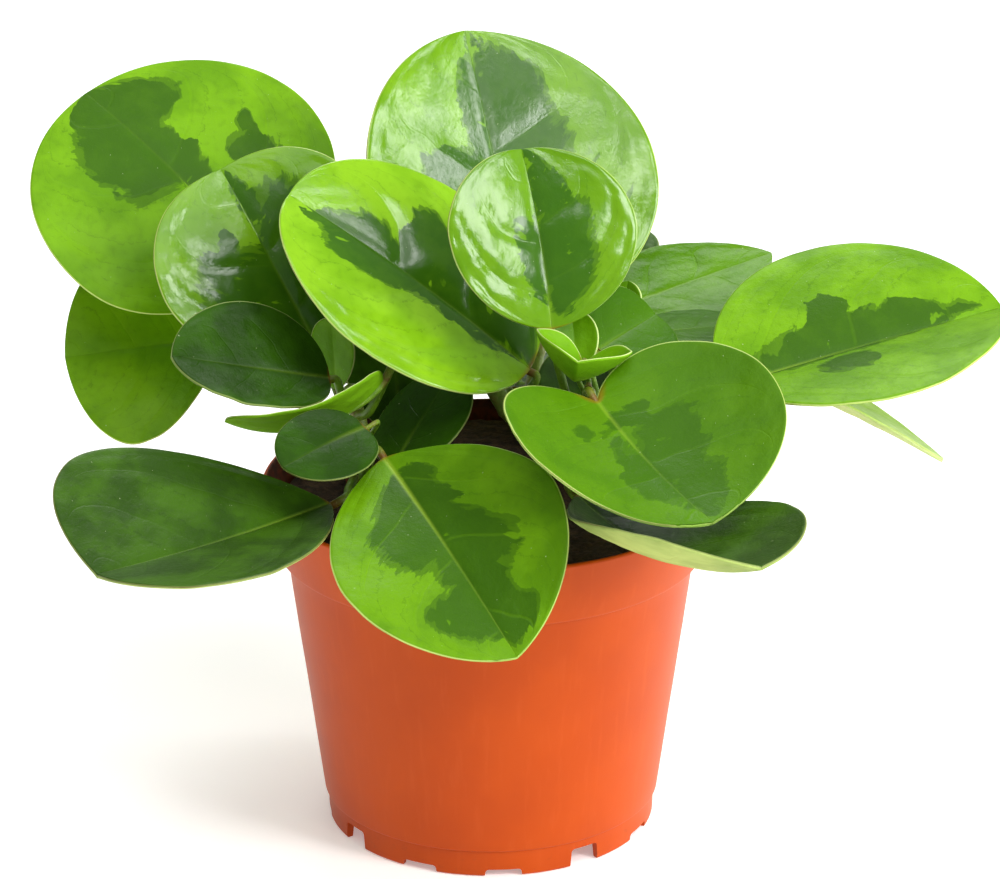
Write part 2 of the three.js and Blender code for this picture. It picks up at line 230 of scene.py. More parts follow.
def plastic_finish():
    """Satin polypropylene: faint flow streaks, cloudy pigment, scuffs by the foot, and painted
    shade with soil stains on the inner wall.
    """
    material, tree, shader, spot = new_finish("orange plastic")
    x, y, z = split_xyz(tree, spot)
    clouds = noise(tree, spot, 38.0, 4.0)
    streaks = noise(tree, join_xyz(tree, x, y, z * 0.06), 420.0, 3.0)
    grain = noise(tree, spot, 2600.0, 2.0)
    body = mixed(tree, clouds.ramp(0.3, 0.7), srgb(178, 66, 3), srgb(187, 72, 5))
    body = mixed(tree, streaks.ramp(0.5, 0.8) * 0.12, body, srgb(218, 104, 48))
    near_foot = 1.0 - z.ramp(0.0, 0.012)
    scuffs = noise(tree, spot, 300.0, 5.0, 0.7).ramp(0.56, 0.7)
    body = mixed(tree, near_foot * scuffs * 0.5, body, srgb(150, 62, 26))
    radius = ((x - POT_AXIS.x) ** 2 + (y - POT_AXIS.y) ** 2).sqrt()
    inside_radius = z * 0.23 + 0.0368
    above_soil = z.ramp(0.074, 0.08)
    # the inner wall above the soil is painted near-black brown: painted shade, with a little soil
    # stain in its noise
    inner = (1.0 - (radius - inside_radius).ramp(0.0005, 0.001)) * above_soil
    stain_and_shade = noise(tree, spot, 260.0, 5.0, 0.65).ramp(0.35, 0.62)
    body = mixed(tree, inner * (stain_and_shade * 0.16 + 0.82), body, srgb(40, 20, 12))
    coat(tree, shader, body, clouds * 0.08 + streaks * 0.04 + 0.36 + inner * 0.2, 0.16)
    add_bump(tree, shader, grain * 0.6 + streaks * 0.2, 0.00005, 0.5)
    return material


DEGREE = math.pi / 180
WELD = 0.001


def pot_tree(material):
    """Turns the outline, then cuts the notches through the foot ring and the holes in the floor."""
    tree, given, out = new_grower(
        "turned pot",
        ["First notch", "Notch circle", "Deep width", "Deep height", "Shallow width",
         "Shallow height", "Drain circle", "Drain radius"],
        ["Sides", "Notches", "Drains"])
    grid, radius, height, turn = lathe_points(tree, given["Geometry"], given["Sides"])
    spot = join_xyz(tree, turn.cos(), turn.sin(), height * 0.05)
    waver = (noise(tree, spot, 1.3, 2.0) - 0.5) * height.ramp(8.0, 60.0) * 0.5
    wall = radius + waver * radius.ramp(30.0, 44.0)
    shell = geo(tree, "SetPosition", {
        0: grid, "Position": join_xyz(tree, wall * turn.cos(), wall * turn.sin(), height)})
    shell = geo(tree, "MergeByDistance", {0: shell, "Distance": WELD})
    # a notch's cutter lies along the radius, with its rounded outline across it
    index = Flow(tree, geo(tree, "InputIndex"))
    deep = (index + 2.0).math("MODULO", 3.0).math("LESS_THAN", 0.5)
    heading = index / given["Notches"] * math.tau + (given["First notch"] - 90.0) * DEGREE
    cutter_length, below_foot, corner = 9.0, 4.0, 0.9
    cutters = []
    for kind, chosen in (("Deep", deep), ("Shallow", 1.0 - deep)):
        width, high = given[kind + " width"], given[kind + " height"] + below_foot
        shape = geo(tree, "CurvePrimitiveQuadrilateral", {
            "Height": high, "Bottom Width": width + 0.9, "Top Width": width - 0.5, "Offset": 0.0},
            mode="TRAPEZOID")
        shape = geo(tree, "FilletCurve", {
            "Curve": shape, "Radius": corner, "Count": 4, "Limit Radius": True}, mode="POLY")
        lid = geo(tree, "FillCurve", {"Curve": shape}, mode="NGONS")
        block = geo(tree, "ExtrudeMesh", {
            "Mesh": lid, "Offset Scale": cutter_length, "Individual": False})
        whole = geo(tree, "JoinGeometry")
        feed(tree, whole.inputs[0], block)
        feed(tree, whole.inputs[0], geo(tree, "FlipFaces", {"Mesh": lid}))
        whole = geo(tree, "MergeByDistance", {0: whole, "Distance": WELD})
        inward = given["Notch circle"] - cutter_length / 2
        middle = join_xyz(tree, inward, 0.0, high * 0.5 - below_foot)
        stood = geo(tree, "Transform", {
            0: whole, "Translation": middle, "Rotation": (math.pi / 2, 0.0, math.pi / 2)})
        ring = geo(tree, "Points", {"Count": given["Notches"], "Radius": 0.0})
        cutters.append(geo(tree, "InstanceOnPoints", {
            "Points": ring, "Selection": chosen, "Instance": stood,
            "Rotation": join_xyz(tree, 0.0, 0.0, heading)}))
    floor_level, drill_depth = 6.3, 6.0
    drain = geo(tree, "MeshCylinder", {
        "Vertices": 40, "Radius": given["Drain radius"], "Depth": drill_depth})
    drain = geo(tree, "Transform", {
        0: drain, "Translation": join_xyz(tree, given["Drain circle"], 0.0, floor_level)})
    ring = geo(tree, "Points", {"Count": given["Drains"], "Radius": 0.0})
    cutters.append(geo(tree, "InstanceOnPoints", {
        "Points": ring, "Instance": drain,
        "Rotation": join_xyz(tree, 0.0, 0.0, index / given["Drains"] * math.tau)}))
    cut = geo(tree, "MeshBoolean", {"Mesh 1": shell}, operation="DIFFERENCE", solver="EXACT")
    for cutter in cutters:
        feed(tree, cut.inputs["Mesh 2"], geo(tree, "RealizeInstances", {0: cutter}))
    finish_tree(tree, cut, material, out)
    return tree


# radius and height of each corner, from the floor's underside round the foot, the wall and the
# rim and down again inside; how far each corner is rounded; and the longest stretch between points
pot_outline = rounded(
    [(0, 5.6), (41.1, 5.6), (41.5, 0), (43.0, 0), (43.3, 0.4), (43.5, 7.2), (44.4, 7.6),
     (53.6, 76.4), (55.9, 76.4), (56.2, 76.9), (59.9, 93.0), (59.5, 93.6), (58.7, 93.6),
     (58.4, 92.8), (54.9, 77.6), (52.3, 75.8), (43.1, 9.2), (41.5, 7.1), (0, 7.1)],
    [0, 0.8, 0.3, 0.3, 0.4, 0.25, 0.7, 0.9, 0.25, 0.5, 0.5, 0.4, 0.4, 0.6, 1.6, 1.6, 1.6, 1.2, 0],
    5.0)
plastic = plastic_finish()
pot = grow("moulded_pot", line_mesh("pot outline", pot_outline), pot_tree(plastic), {
    "Sides": 240, "Notches": 12, "Drains": 6, "First notch": 4.5, "Notch circle": 42.4,
    "Deep width": 8.4, "Deep height": 5.0, "Shallow width": 9.8, "Shallow height": 1.9,
    "Drain circle": 27.0, "Drain radius": 4.0})
pot.data.set_sharp_from_angle(angle=math.radians(38))
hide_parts("pot")
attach(pot, "root")

# ---- the soil ------------------------------------------------
# Moist dark peat, filled by hand to a finger's breadth under the rim and left a little mounded
# round the shoots, with loose crumbs, bits of bark and a few white grains of perlite on it.


def peat_finish(name, dark, light, rough):
    material, tree, shader, spot = new_finish(name)
    clumps = noise(tree, spot, 420.0, 5.0, 0.65)
    fine = noise(tree, spot, 3200.0, 3.0, 0.6)
    body = mixed(tree, clumps.ramp(0.35, 0.68), dark, light)
    glint = tuple(c * 1.8 for c in light[:3]) + (1.0,)
    body = mixed(tree, fine.ramp(0.62, 0.72) * 0.6, body, glint)
    coat(tree, shader, body, fine * 0.2 + rough, 0.12)
    add_bump(tree, shader, fine * 0.6 + clumps, 0.0004, 0.9)
    return material


def soil_tree(peat, bark, perlite):
    """Turns the soil's outline, roughens its top, and scatters crumbs, bark and perlite over it."""
    tree, given, out = new_grower(
        "filled soil", ["Top", "Roughness", "Heaped back", "Crumbs", "Bark", "Perlite"],
        ["Sides", "Seed"])
    grid, radius, height, turn = lathe_points(tree, given["Geometry"], given["Sides"])
    x, y = radius * turn.cos(), radius * turn.sin()
    top = height.ramp(given["Top"] - 1.2, given["Top"] - 0.1)
    lumps = noise(tree, join_xyz(tree, x, y, height), 0.16, 6.0, 0.62) - 0.5
    heaped = y.ramp(-5.0, 52.0) * given["Heaped back"]
    raised = height + (lumps * given["Roughness"] + heaped) * top
    body = geo(tree, "SetPosition", {0: grid, "Position": join_xyz(tree, x, y, raised)})
    body = geo(tree, "MergeByDistance", {0: body, "Distance": WELD})
    body = geo(tree, "SetMaterial", {0: body, "Material": peat})
    place = geo(tree, "InputPosition")
    x, y, z = split_xyz(tree, place)
    upward = split_xyz(tree, geo(tree, "InputNormal"))[2].math("GREATER_THAN", 0.3)
    edge_radius, lowest_top = 54.4, 82.0
    inside = (x * x + y * y).math("LESS_THAN", edge_radius ** 2)
    on_top = upward * inside * z.math("GREATER_THAN", lowest_top)
    all_parts = geo(tree, "JoinGeometry")
    feed(tree, all_parts.inputs[0], body)
    for k, (amount, low, high, finish) in enumerate((
            ("Crumbs", (0.35, 0.3, 0.25), (1.25, 1.05, 0.8), peat),
            ("Bark", (0.9, 0.25, 0.15), (2.6, 0.8, 0.4), bark),
            ("Perlite", (0.5, 0.45, 0.4), (1.3, 1.1, 1.0), perlite))):
        spread = geo(tree, "DistributePointsOnFaces", {
            "Mesh": body, "Selection": on_top, "Density": given[amount],
            "Seed": given["Seed"] + k * 11.0})
        sizes = add(tree, "FunctionNodeRandomValue", {
            "Min": low, "Max": high, "Seed": given["Seed"] + k}, data_type="FLOAT_VECTOR")
        turns = add(tree, "FunctionNodeRandomValue", {
            "Max": (0.6, 0.6, math.tau), "Seed": k + 40}, data_type="FLOAT_VECTOR")
        grain = geo(tree, "MeshIcoSphere", {"Subdivisions": 2})
        spot = add(tree, "ShaderNodeVectorMath", {0: place, 1: (k * 9.0, 2.0, 5.0)})
        dent = noise(tree, spot, 1.1, 1.0) * 1.1 + 0.45
        grain = geo(tree, "SetPosition", {
            0: grain, "Position": join_xyz(tree, x * dent, y * dent, z * dent)})
        strewn = geo(tree, "InstanceOnPoints", {
            "Points": spread, "Instance": grain, "Rotation": turns, "Scale": sizes})
        real = geo(tree, "RealizeInstances", {0: strewn})
        real = geo(tree, "SetMaterial", {0: real, "Material": finish})
        feed(tree, all_parts.inputs[0], real)
    feed(tree, out, geo(tree, "RealizeInstances", {0: all_parts}))
    return tree


soil_outline = rounded(
    [(0, 7.4), (41.2, 7.4), (42.8, 9.5), (52.0, 75.8), (54.6, 77.9), (56.0, 85.0), (51.0, 85.6),
     (36, 86.9), (18, 87.6), (0, 87.6)], [0, 1, 1, 1.5, 1.5, 0.4, 2, 4, 4, 0], 0.9)
peat = peat_finish("moist peat", srgb(34, 25, 16), srgb(64, 47, 31), 0.8)
bark = peat_finish("bark crumbs", srgb(58, 38, 22), srgb(104, 74, 46), 0.7)
perlite = peat_finish("perlite", srgb(196, 190, 178), srgb(232, 229, 220), 0.75)
soil = grow("peat_soil", line_mesh("soil outline", soil_outline), soil_tree(peat, bark, perlite), {
    "Sides": 260, "Seed": 5, "Top": 85.6, "Roughness": 3.4, "Heaped back": 4.5, "Crumbs": 0.16,
    "Bark": 0.022, "Perlite": 0.011})
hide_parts("soil")
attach(soil, "root")

# ---- the shoots ----------------------------------------------
# Five fleshy shoots, red-brown where they leave the soil and green above, swollen a little where a
# leaf stands off and ending in a blunt tip between the youngest leaves. Each is one living stem.


def smooth_line(points, count):
    """Centripetal Catmull-Rom line through the points."""
    points = [np.array(p, float) for p in points]
    points = [2 * points[0] - points[1], *points, 2 * points[-1] - points[-2]]
    knots = [0.0]
    for a, b in zip(points, points[1:]):
        knots.append(knots[-1] + math.sqrt(np.linalg.norm(b - a)))
    line = []
    for t in np.linspace(0, len(points) - 3, count):
        i = min(int(t), len(points) - 4)
        k = knots[i:i + 4]
        x = k[1] + (t - i) * (k[2] - k[1])
        p = points[i:i + 4]
        a = [((k[j + 1] - x) * p[j] + (x - k[j]) * p[j + 1]) / (k[j + 1] - k[j]) for j in range(3)]
        b = [((k[j + 2] - x) * a[j] + (x - k[j]) * a[j + 1]) / (k[j + 2] - k[j]) for j in range(2)]
        line.append(((k[2] - x) * b[0] + (x - k[1]) * b[1]) / (k[2] - k[1]))
    return np.array(line)


def even_line(points, count):
    """The smooth line with its points evenly spaced along it."""
    line = smooth_line(points, 400)
    run = np.concatenate([[0], np.cumsum(np.linalg.norm(np.diff(line, axis=0), axis=1))])
    at = np.linspace(0, run[-1], count)
    return np.stack([np.interp(at, run, line[:, k]) for k in range(3)], 1)


def shoot_finish():
    material, tree, shader, spot = new_finish("shoot skin")
    z = split_xyz(tree, spot)[2]
    blotch = noise(tree, spot, 240.0, 4.0)
    dots = noise(tree, spot, 1500.0, 2.0)
    rise = (z + (blotch - 0.5) * 0.014).ramp(0.088, 0.112)
    body = mixed(tree, rise, srgb(122, 62, 38), srgb(116, 142, 48))
    body = mixed(tree, blotch.ramp(0.5, 0.75) * 0.5, body, srgb(148, 96, 62))
    body = mixed(tree, dots.ramp(0.64, 0.7) * 0.5, body, srgb(196, 180, 130))
    coat(tree, shader, body, blotch * 0.2 + 0.34)
    add_bump(tree, shader, dots * 0.7 + blotch, 0.00025, 0.7)
    return material


def shoot_tree(material):
    """A round bar along the path, thinner upwards, swollen at the joints and blunt at the tip."""
    tree, given, out = new_grower(
        "fleshy shoot", ["Low radius", "High radius", "Joint spacing", "Swelling"], ["Sides"])
    curve = geo(tree, "MeshToCurve", {"Mesh": given["Geometry"]})
    along = geo(tree, "SplineParameter")
    share, length = (Flow(tree, along.outputs[name]) for name in ("Factor", "Length"))
    radius = given["Low radius"] + share * (given["High radius"] - given["Low radius"])
    wave = (length / given["Joint spacing"] * math.tau).cos() * 0.5 + 0.5
    radius = radius * (wave ** 6.0 * given["Swelling"] + 0.98)
    uneven = noise(tree, geo(tree, "InputPosition"), 0.3, 2.0) - 0.5
    radius = radius * (uneven * 0.16 + 1.0)
    tip_share, tip_radius = 0.03, 0.03
    into_tip = ((share - (1 - tip_share)) / tip_share).at_least(0.0)
    blunt = (1.0 - into_tip ** 2.0).at_least(0.0).sqrt()
    ring = geo(tree, "CurvePrimitiveCircle", {"Resolution": given["Sides"]})
    bar = geo(tree, "CurveToMesh", {
        "Curve": curve, "Profile Curve": ring, "Fill Caps": True,
        "Scale": radius * (blunt * (1 - tip_radius) + tip_radius)})
    finish_tree(tree, geo(tree, "SetShadeSmooth", {0: bar}), material, out)
    return tree


# each shoot's path, from its foot in the soil to its tip, and its radius low down and at the top
shoots = {
    "stem_left": (
        [(-36, 12, 64), (-36, 12, 86), (-34, 7, 98), (-34, 5, 106), (-37, 10, 117)], 3.0, 1.9),
    "stem_left_back": (
        [(-18, 36, 64), (-18, 36, 86), (-22, 40, 98), (-31, 46, 109), (-40, 50, 119)], 2.8, 1.8),
    "stem_middle": (
        [(23, 14, 64), (23, 14, 86), (13, 14, 98), (3, 17, 109), (-4, 25, 120)], 3.3, 2.2),
    "stem_right": (
        [(30, -2, 64), (30, -2, 86), (29, -3, 98), (28, -4, 108), (25, -6, 122)], 3.0, 1.8),
    "stem_back": (
        [(10, 34, 64), (10, 34, 86), (11, 38, 98), (12, 42, 110), (14, 46, 121)], 2.8, 1.8),
}
shoot_skin = shoot_finish()
shoot_grower = shoot_tree(shoot_skin)
for node, (path, low, high) in shoots.items():
    middle_line = line_mesh(node + " path", even_line(path, 90))
    shoot = grow(node.replace("stem", "shoot"), middle_line, shoot_grower, {
        "Low radius": low, "High radius": high, "Joint spacing": 8.5, "Swelling": 0.16,
        "Sides": 24})
    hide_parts(node)
    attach(shoot, "root")

# ---- the leaves ----------------------------------------------
# Thick waxy leaves, each a round blade on its own stout stalk, grown as one piece. The blade folds
# along a sunken midrib, swells between three or four pairs of curved side veins, and most are lime
# green with a torn, dark green middle. The youngest ones are still folded up as buds.

BLADE_SHAPE = ["Length", "Width", "Belly", "Fold", "Cup", "Bend", "Lobe", "Tip", "Sway"]
# Depth darkens a whole blade towards deep green: partly the leaf's own darker tone, partly painted
# shade on leaves that lie in shadow
BLADE_SKIN = ["Pillow", "Rib tone", "Depth"]
DARK_AREAS = 6
BLADE_THICKNESS = 1.3
YOUNG_LENGTH = 34  # a shorter blade than this is a young one: thinner and flatter, on a slim stalk


def blade_surface_group():
    """The middle surface of a blade: u runs from base to tip, v from the right edge to the left."""
    tree, given, _ = new_grower("blade surface", ["U", "V", *BLADE_SHAPE])
    out = tree.nodes["Group Output"]
    for name, kind in (("Place", "Vector"), ("Along", "Float"), ("Half width", "Float")):
        tree.interface.new_socket(name, in_out="OUTPUT", socket_type="NodeSocket" + kind)
    u, v = given["U"], given["V"]
    along = (1.0 - (u * math.pi).cos()) * 0.5
    belly_at = (1.0 - given["Belly"] * 2.0).math("ARCCOSINE") / math.pi
    skew = belly_at.math("LOGARITHM", 0.5) ** -1.0
    half = given["Width"] * 0.5
    width = half * (u ** skew * math.pi).sin()
    side_reach = v * v * (u * math.pi).sin()
    reach = along + side_reach * (given["Tip"] * along - given["Lobe"] * (1.0 - along))
    fold = given["Fold"] * DEGREE
    turn = given["Cup"] * DEGREE / half
    out_from_rib = abs(v) * width
    angle = fold + turn * out_from_rib
    side = v.sign() * (angle.sin() - fold.sin()) / turn
    lift = (fold.cos() - angle.cos()) / turn
    bend = given["Bend"] * DEGREE
    arc = bend * reach
    place = join_xyz(
        tree,
        given["Length"] * arc.sin() / bend + lift * arc.sin(),
        side + given["Sway"] * reach * reach,
        lift * arc.cos() - given["Length"] * (1.0 - arc.cos()) / bend)
    feed(tree, out.inputs["Place"], place)
    feed(tree, out.inputs["Along"], along)
    feed(tree, out.inputs["Half width"], width)
    return tree


def leaf_tree(surface):
    """Grid round both faces of the blade, closed at its edge, plus the stalk along its path."""
    dark_inputs = [f"Dark {k} {what}" for k in range(DARK_AREAS) for what in ("at", "size")]
    tree, given, out = new_grower(
        "waxy leaf", [*BLADE_SHAPE, *BLADE_SKIN, "Thickness", "Ripple"],
        ["Rows", "Columns", "Seed"], ["Turn", "Place", *dark_inputs])
    for finish in ("Blade finish", "Stalk finish"):
        tree.interface.new_socket(finish, in_out="INPUT", socket_type="NodeSocketMaterial")
    finishes = {s.name: s for s in tree.nodes["Group Input"].outputs if s.name}
    rows, columns = given["Rows"], given["Columns"]
    ring = columns * 2.0 + 1.0
    grid = geo(tree, "MeshGrid", {"Vertices X": rows + 1.0, "Vertices Y": ring})
    index = Flow(tree, geo(tree, "InputIndex"))
    row = ((index + 0.5) / ring).math("FLOOR")
    u = row / rows
    lap = (index - row * ring) / columns
    linear = abs(lap - 1.0) * 2.0 - 1.0
    v = linear.sign() * (abs(linear) ** 1.4 * (math.pi / 2)).sin()
    face = (1.0 - lap).sign()

    wobble_spot = join_xyz(tree, u * 2.6, v.sign(), given["Seed"] + 0.5)
    wobble = (noise(tree, wobble_spot, 1.3, 1.0) - 0.5) * 0.07 + 1.0

    def surface_at(at_u, at_v):
        node = geo(tree, "Group", node_tree=surface)
        feed(tree, node.inputs["U"], at_u)
        feed(tree, node.inputs["V"], at_v * wobble)
        for name in BLADE_SHAPE:
            feed(tree, node.inputs[name], given[name])
        return node

    middle = surface_at(u, v)
    along = Flow(tree, middle.outputs["Along"])
    width = Flow(tree, middle.outputs["Half width"])
    near_u = u.at_least(0.06).at_most(0.94)
    near_v = v.at_least(-0.98).at_most(0.98)
    step = 0.01

    def vector(operation, *terms):
        return add(tree, "ShaderNodeVectorMath", dict(enumerate(terms)), operation=operation)

    def place_at(at_u, at_v):
        return surface_at(at_u, at_v).outputs["Place"]

    lengthways = vector(
        "SUBTRACT", place_at(near_u + step, near_v), place_at(near_u - step, near_v))
    sideways = vector(
        "SUBTRACT", place_at(near_u, near_v + step), place_at(near_u, near_v - step))
    normal = vector("NORMALIZE", vector("CROSS_PRODUCT", lengthways, sideways))

    # side veins leave the midrib at a slant and run on in arcs beside the margin
    slant = (1.0 - (abs(v) * 1.04).at_most(0.97)).math("LOGARITHM", math.e) * -0.19
    phase = (along - slant) * 3.1 + v.sign() * 0.14 + 0.4
    seed_spot = join_xyz(tree, along * 2.2, v * 1.4, given["Seed"])
    wander = noise(tree, seed_spot, 1.0, 2.0) - 0.5
    phase = phase + wander * 0.55
    from_vein = abs((phase * math.pi).sin())
    sunk = (from_vein * from_vein * -14.0).math("EXPONENT")
    swell = from_vein * 0.5 - sunk * 0.55 + 0.4
    out_from_rib = abs(v) * width
    inner = (out_from_rib * 0.35).at_most(1.0)
    edge = (1.0 - abs(v)) * width
    outer = (edge * 0.16).at_most(1.0)
    ends = (u * math.pi).sin()
    rib = (out_from_rib * out_from_rib * -0.6).math("EXPONENT")
    upper = (face + 1.0) * 0.5
    pillow = (swell - 0.6) * inner * given["Pillow"]
    pillow = pillow * along.ramp(0.0, 0.2) * (1.0 - along.ramp(0.55, 0.9))
    relief = pillow * (face * 0.35 + 0.65) - upper * rib * ends * 0.24
    ripple = (noise(tree, seed_spot, 1.9, 2.0) - 0.5) * (abs(v) * 0.8 + 0.2) * ends
    ripple = ripple * given["Ripple"]
    rim = (1.0 - edge / (given["Thickness"] * 0.75)).at_least(0.0)
    half = (1.0 - rim * rim).at_least(0.0).sqrt() * (1.0 - abs(v) * 0.25)
    height = face * half * given["Thickness"] * 0.5 + relief * outer + ripple
    push = add(tree, "ShaderNodeVectorMath", {0: normal, "Scale": height}, operation="SCALE")
    place = vector("ADD", middle.outputs["Place"], push)

    # where the dark middle lies: 1 at the heart of an area, 0 at its border, below 0 outside
    warp_spot = join_xyz(tree, phase * 2.2, abs(v) * 2.6, given["Seed"] + v.sign() * 7.0)
    shift_along = (noise(tree, warp_spot, 2.4, 3.0) - 0.5) * 0.12
    shift_across = (noise(tree, warp_spot, 3.1, 3.0, 0.6) - 0.5) * 0.26
    patch = -9.0
    for k in range(DARK_AREAS):
        at_along, at_v, _ = split_xyz(tree, given[f"Dark {k} at"])
        reach_along, reach_v, _ = split_xyz(tree, given[f"Dark {k} size"])
        off_along = abs(along + shift_along - at_along) / reach_along
        off_across = abs(v + shift_across - at_v) / reach_v
        apart = (off_along * off_along + off_across * off_across).sqrt()
        patch = (1.0 - apart).math("SMOOTH_MAX", patch, 0.3)

    blade = grid
    for name, value, kind in (
            ("spot", join_xyz(tree, along, v, face), "FLOAT_VECTOR"),
            ("vein", join_xyz(tree, phase, out_from_rib, edge), "FLOAT_VECTOR"),
            ("patch", join_xyz(tree, patch, given["Seed"], given["Rib tone"]), "FLOAT_VECTOR"),
            ("deep", given["Depth"], "FLOAT")):
        blade = geo(tree, "StoreNamedAttribute", {0: blade, "Name": name, "Value": value},
                    data_type=kind)
    blade = geo(tree, "SetPosition", {0: blade, "Position": place})
    blade = geo(tree, "MergeByDistance", {0: blade, "Distance": 0.004})
    blade = geo(tree, "FlipFaces", {"Mesh": blade})
    blade = geo(tree, "SetMaterial", {0: blade, "Material": finishes["Blade finish"]})
    blade = geo(tree, "Transform", {
        0: blade, "Translation": given["Place"], "Rotation": given["Turn"]})
    path = geo(tree, "MeshToCurve", {"Mesh": given["Geometry"]})
    thick = geo(tree, "InputNamedAttribute", {"Name": "thick"}, data_type="FLOAT")
    circle = geo(tree, "CurvePrimitiveCircle", {"Resolution": 18})
    stalk = geo(tree, "CurveToMesh", {
        "Curve": path, "Profile Curve": circle, "Scale": thick, "Fill Caps": True})
    stalk = geo(tree, "SetMaterial", {0: stalk, "Material": finishes["Stalk finish"]})
    both = geo(tree, "JoinGeometry")
    feed(tree, both.inputs[0], blade)
    feed(tree, both.inputs[0], stalk)
    smooth = geo(tree, "SetShadeSmooth", {0: both})
    feed(tree, out, geo(tree, "RealizeInstances", {0: smooth}))
    return tree


def named(tree, name):
    return split_xyz(tree, add(tree, "ShaderNodeAttribute", attribute_name=name).outputs["Vector"])


def leaf_finish(name, light, shade, dark, under, margin, patched=False, shine=0.11, dull=0.22,
                grain_depth=0.00022):
    """Waxy skin: green ground, torn dark middle in two tones, faint veins, matt paler underside."""
    material, tree, shader, spot = new_finish(name)
    along, v, face = named(tree, "spot")
    phase, out_from_rib, edge = named(tree, "vein")
    patch, seed, rib_tone = named(tree, "patch")
    deep = Flow(tree, add(tree, "ShaderNodeAttribute", attribute_name="deep").outputs["Fac"])
    shift = seed * 3.7 + v.sign() * 5.3
    clouds = noise(tree, spot, 60.0, 3.0)
    mottle = noise(tree, spot, 480.0, 4.0, 0.6)
    ground = mixed(tree, clouds.ramp(0.36, 0.64), light, shade)

    def lay(share, tone):
        nonlocal ground
        ground = mixed(tree, share, ground, tone)

    # the blade's Depth: partly its own darker tone, partly painted shade where the leaf lies in
    # shadow
    lay(deep, srgb(52, 95, 0))
    lay(mottle.ramp(0.5, 0.72) * 0.14, dark)
    towards_rib = 1.0 - (out_from_rib / 11.0).at_most(1.0)
    lay(towards_rib * 0.25, shade)
    if patched:
        clear = ground
        grey = mixed(tree, 0.36, dark, clear)
        smoky = noise(tree, spot, 130.0, 4.0, 0.6).ramp(0.42, 0.66)
        flames = noise(tree, join_xyz(tree, phase * 0.9, abs(v) * 0.8, shift), 1.7, 1.0)
        teeth = noise(tree, join_xyz(tree, phase * 3.4, abs(v) * 1.5, shift + 9.0), 2.6, 4.0, 0.6)
        torn = patch + (flames - 0.5) * 1.1 + (teeth - 0.5) * 0.6
        outer_tone = torn.ramp(0.0, 0.05)
        depth = noise(tree, join_xyz(tree, phase * 1.6, abs(v) * 1.1, shift + 31.0), 1.6, 3.0, 0.6)
        inner_tone = (torn - 0.12 + (depth - 0.5) * 1.1).ramp(0.0, 0.07)
        lay(outer_tone, grey)
        smoked = mixed(tree, smoky * 0.2, dark, grey)
        lay(inner_tone * outer_tone, smoked)
        isles = noise(tree, join_xyz(tree, phase * 2.4, abs(v) * 1.8, shift + 21.0), 2.0, 3.0)
        lay(isles.ramp(0.67, 0.71) * outer_tone * 0.85, clear)
    lines = 1.0 - abs((phase * math.pi).sin()).ramp(0.02, 0.1)
    lines = lines * (out_from_rib / 2.0).at_most(1.0) * edge.ramp(1.5, 9.0)
    lay(lines * rib_tone * 0.22, light)
    twigs = 1.0 - abs((phase * math.tau + mottle * 2.2).sin()).ramp(0.03, 0.12)
    twigs = twigs * edge.ramp(1.0, 5.0) * out_from_rib.ramp(1.0, 5.0) * mottle.ramp(0.38, 0.5)
    lay(twigs * 0.3, dark)
    rib = 1.0 - (out_from_rib / (1.35 - along)).ramp(0.1, 0.95)
    fading = 1.0 - along.ramp(0.05, 0.65) * 0.8
    lay(rib * rib_tone * fading, srgb(158, 190, 58))
    joint = (1.0 - along.ramp(0.002, 0.022)) * 0.55
    lay(joint, srgb(138, 84, 26))
    specks = noise(tree, spot, 1350.0, 1.0).ramp(0.79, 0.82)
    lay(specks * 0.4, srgb(214, 226, 180))
    lay(1.0 - edge.ramp(0.1, 0.38), margin)
    blush = noise(tree, spot, 34.0, 2.0).ramp(0.5, 0.62) * (1.0 - edge.ramp(0.0, 0.16))
    lay(blush * 0.7, srgb(92, 52, 40))
    below = 1.0 - face.ramp(-0.6, 0.2)
    below_tone = mixed(tree, clouds.ramp(0.35, 0.65) * 0.5, under, light)
    grain = noise(tree, spot, 2100.0, 3.0, 0.6)
    leather = noise(tree, spot, 620.0, 3.0, 0.55)
    rough = leather * 0.2 + clouds * 0.1 + dull + below * 0.3
    coat(tree, shader, mixed(tree, below, ground, below_tone), rough, shine)
    add_bump(tree, shader, leather + grain * 0.35 - lines * 0.4 - rib * 0.3, grain_depth, 0.65)
    return material


def stalk_finish():
    """Green stalk, red-brown where it leaves the shoot and again just under the blade."""
    material, tree, shader, spot = new_finish("stalk skin")
    run = Flow(tree, add(tree, "ShaderNodeAttribute", attribute_name="run").outputs["Fac"])
    blotch = noise(tree, spot, 260.0, 4.0)
    fine = noise(tree, spot, 1700.0, 2.0)
    body = mixed(tree, blotch.ramp(0.35, 0.7), srgb(104, 142, 26), srgb(80, 116, 14))
    near_shoot = 1.0 - run.ramp(0.05, 0.3)
    near_blade = run.ramp(0.45, 0.62) * (1.0 - run.ramp(0.66, 0.72))
    ruddy = near_shoot * 0.7 + near_blade * 0.75
    body = mixed(tree, ruddy * blotch.ramp(0.25, 0.6), body, srgb(118, 58, 22))
    body = mixed(tree, fine.ramp(0.62, 0.7) * 0.35, body, srgb(170, 186, 100))
    coat(tree, shader, body, blotch * 0.2 + 0.34, 0.35)
    add_bump(tree, shader, blotch + fine * 0.5, 0.0002, 0.5)
    return material


